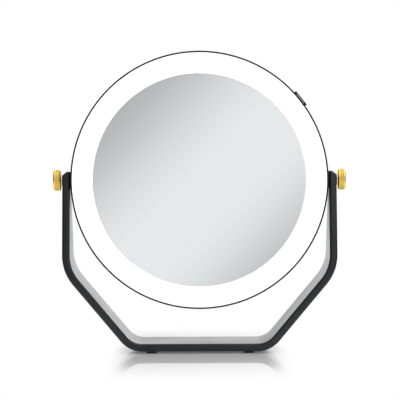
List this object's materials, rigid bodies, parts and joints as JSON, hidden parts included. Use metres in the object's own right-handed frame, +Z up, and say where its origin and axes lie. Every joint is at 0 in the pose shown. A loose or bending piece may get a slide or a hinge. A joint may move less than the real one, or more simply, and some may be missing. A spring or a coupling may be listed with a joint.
{
  "type": "lighted vanity mirror",
  "caption": "Free-standing round two-sided mirror with a lit ring, hung between the arms of a bent strap stand and clamped by thumb knobs.",
  "frame": {"origin": "on the table, under the middle of the stand", "axes": "+Z up, +X along the tilt axis towards the right knob, -Y towards the person using the front glass"},
  "size_m": [0.279, 0.076, 0.2857],
  "materials": {
    "stand_black": "black satin-gloss coat over aluminium",
    "foot_rubber": "matt black rubber",
    "sleeve_nylon": "natural nylon",
    "washer_brass": "polished pale brass",
    "rim_black": "glossy black moulding",
    "lens_opal": "opal acrylic, lit from behind",
    "mirror_glass": "silvered glass",
    "foam_white": "white foam tape",
    "chassis_white": "white moulding",
    "led_board_white": "white solder mask",
    "screw_steel": "zinc plated steel",
    "battery_wrap": "blue film wrap",
    "strap_steel": "sheet steel",
    "board_green": "green solder mask",
    "socket_steel": "plated shell",
    "switch_black": "satin black moulding",
    "rocker_grey": "satin dark grey moulding",
    "lead_red": "red insulation",
    "lead_white": "white insulation",
    "lead_black": "black insulation",
    "knob_brass": "satin brass, finely knurled edge",
    "insert_brass": "turned brass",
    "stud_steel": "threaded steel",
    "spacer_black": "black fibre-filled rubber"
  },
  "bodies": {
    "stand": {"stand_frame": "stand_black", "foot_front_left": "foot_rubber", "foot_front_right": "foot_rubber", "foot_rear_left": "foot_rubber", "foot_rear_right": "foot_rubber", "arm_bushing_left": "sleeve_nylon", "arm_bushing_right": "sleeve_nylon", "knob_washer_left": "washer_brass", "knob_washer_right": "washer_brass"},
    "head": {"rim_hoop": "rim_black", "front_diffuser": "lens_opal", "rear_diffuser": "lens_opal", "front_mirror": "mirror_glass", "rear_mirror": "mirror_glass", "front_mirror_pad": "foam_white", "rear_mirror_pad": "foam_white", "chassis_plate": "chassis_white", "front_led_board": "led_board_white", "rear_led_board": "led_board_white", "strap_screw_left": "screw_steel", "strap_screw_right": "screw_steel", "board_screw_left": "screw_steel", "board_screw_right": "screw_steel", "battery_pack": "battery_wrap", "battery_strap": "strap_steel", "control_board": "board_green", "charge_socket": "socket_steel", "switch_bezel": "switch_black", "switch_body": "switch_black", "indicator_strip": "rocker_grey", "battery_lead": "lead_red", "front_led_lead": "lead_white", "rear_led_lead": "lead_white", "socket_lead": "lead_black", "switch_lead": "lead_black", "threaded_insert_left": "insert_brass", "threaded_insert_right": "insert_brass", "friction_spacer_left": "spacer_black", "friction_spacer_right": "spacer_black"},
    "knob_left": {"knob_left": "knob_brass", "stud_left": "stud_steel"},
    "knob_right": {"knob_right": "knob_brass", "stud_right": "stud_steel"},
    "dimmer": {"dimmer_rocker": "rocker_grey"}
  },
  "joints": [
    {"name": "head_tilt", "type": "hinge", "parent": "stand", "child": "head", "pos_m": [0, 0, 0.1629], "axis": [1, 0, 0], "continuous": true},
    {"name": "knob_left_turn", "type": "hinge", "parent": "head", "child": "knob_left", "pos_m": [-0.1361, 0, 0.1629], "axis": [-1, 0, 0], "range_deg": [0, 270]},
    {"name": "knob_right_turn", "type": "hinge", "parent": "head", "child": "knob_right", "pos_m": [0.1361, 0, 0.1629], "axis": [1, 0, 0], "range_deg": [0, 270]},
    {"name": "dimmer_rock", "type": "hinge", "parent": "head", "child": "dimmer", "pos_m": [0.09519, 0, 0.23889], "axis": [0, 1, 0], "range_deg": [-4, 4], "stiffness_Nm_per_rad": 0.12}
  ]
}
